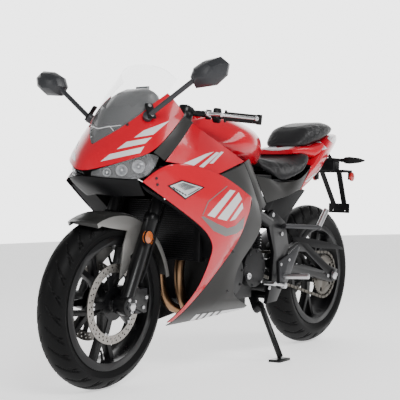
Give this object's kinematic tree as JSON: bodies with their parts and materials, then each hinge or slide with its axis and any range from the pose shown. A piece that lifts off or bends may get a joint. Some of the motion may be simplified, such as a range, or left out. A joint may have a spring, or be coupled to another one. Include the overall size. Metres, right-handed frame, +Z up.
{
  "type": "sport motorcycle",
  "caption": "Fully faired sport motorcycle with steerable fork, spoked cast wheels, stepped seats and a side stand on which it leans.",
  "frame": {"origin": "middle of the bounding box's bottom face, on the floor", "axes": "+X forward, +Y to the rider's left, +Z up; the bike leans towards +Y on its stand"},
  "size_m": [1.9705, 0.8679, 1.136],
  "materials": {
    "red_paint": "gloss paint",
    "grey_paint": "satin paint",
    "black_plastic": "moulded",
    "dark_plastic": "moulded",
    "black_metal": "satin",
    "dark_metal": "satin",
    "bright_metal": "brushed",
    "disc_steel": "ground",
    "chain_steel": "oiled",
    "header_pipe": "heat-tinted",
    "tyre": "rubber",
    "grip_rubber": "moulded",
    "seat_vinyl": "vinyl",
    "clear_screen": "clear",
    "lamp_lens": "clear",
    "red_lens": "lens",
    "amber_lens": "lens"
  },
  "bodies": {
    "chassis": {"main_frame": "black_metal", "subframe": "black_metal", "engine": "black_metal", "radiator": "black_metal", "exhaust": "header_pipe", "muffler": "dark_metal", "nose_cowl": "red_paint", "windscreen": "clear_screen", "dash": "dark_plastic", "headlamps": "lamp_lens", "nose_trims": "grey_paint", "inner_cowl": "black_plastic", "side_fairings": "red_paint", "lower_fairings": "grey_paint", "spar_covers": "grey_paint", "turn_lamps": "lamp_lens", "fuel_tank": "red_paint", "rider_seat": "seat_vinyl", "pillion_seat": "seat_vinyl", "tail_cowl": "red_paint", "seat_panels": "grey_paint", "side_covers": "black_plastic", "under_tray": "black_plastic", "tail_lamp": "red_lens", "plate_hanger": "black_plastic", "rear_signals": "black_plastic", "side_reflectors": "red_lens", "swing_arm": "black_metal", "rear_axle": "bright_metal", "rear_shock": "dark_metal", "chain": "chain_steel", "chain_guard": "black_plastic", "peg_brackets": "bright_metal", "passenger_pegs": "bright_metal", "foot_levers": "bright_metal", "mirrors": "black_plastic", "rear_caliper": "dark_metal"},
    "steering": {"triple_clamps": "black_metal", "fork_tubes": "bright_metal", "fork_sliders": "black_metal", "handlebars": "black_metal", "grips": "grip_rubber", "hand_levers": "bright_metal", "brake_hoses": "black_plastic", "front_fender": "grey_paint", "front_calipers": "dark_metal", "front_axle": "bright_metal", "fork_reflectors": "amber_lens"},
    "front_wheel": {"front_tyre": "tyre", "front_rim": "black_metal", "front_discs": "disc_steel"},
    "rear_wheel": {"rear_tyre": "tyre", "rear_rim": "black_metal", "rear_disc": "disc_steel", "rear_sprocket": "chain_steel"},
    "stand": {"side_stand": "black_metal"},
    "cap": {"fuel_cap": "bright_metal"}
  },
  "joints": [
    {"name": "steering", "type": "hinge", "parent": "chassis", "child": "steering", "pos_m": [0.40975, -0.0181, 0.82815], "axis": [-0.4147, 0.0635, 0.9077], "range_deg": [-33, 27]},
    {"name": "front_wheel_spin", "type": "hinge", "parent": "steering", "child": "front_wheel", "pos_m": [0.69296, -0.05373, 0.29231], "axis": [-0.0476, 0.9947, -0.0913], "continuous": true},
    {"name": "rear_wheel_spin", "type": "hinge", "parent": "chassis", "child": "rear_wheel", "pos_m": [-0.672, -0.05417, 0.31241], "axis": [0, 0.9976, -0.0698], "continuous": true},
    {"name": "stand_fold", "type": "hinge", "parent": "chassis", "child": "stand", "pos_m": [-0.124, 0.03868, 0.20667], "axis": [0, 0.8811, 0.473], "range_deg": [0, 100]},
    {"name": "cap_lid", "type": "hinge", "parent": "chassis", "child": "cap", "pos_m": [0.223, -0.00774, 0.97629], "axis": [0, 0.9976, -0.0698], "range_deg": [0, 95]}
  ]
}
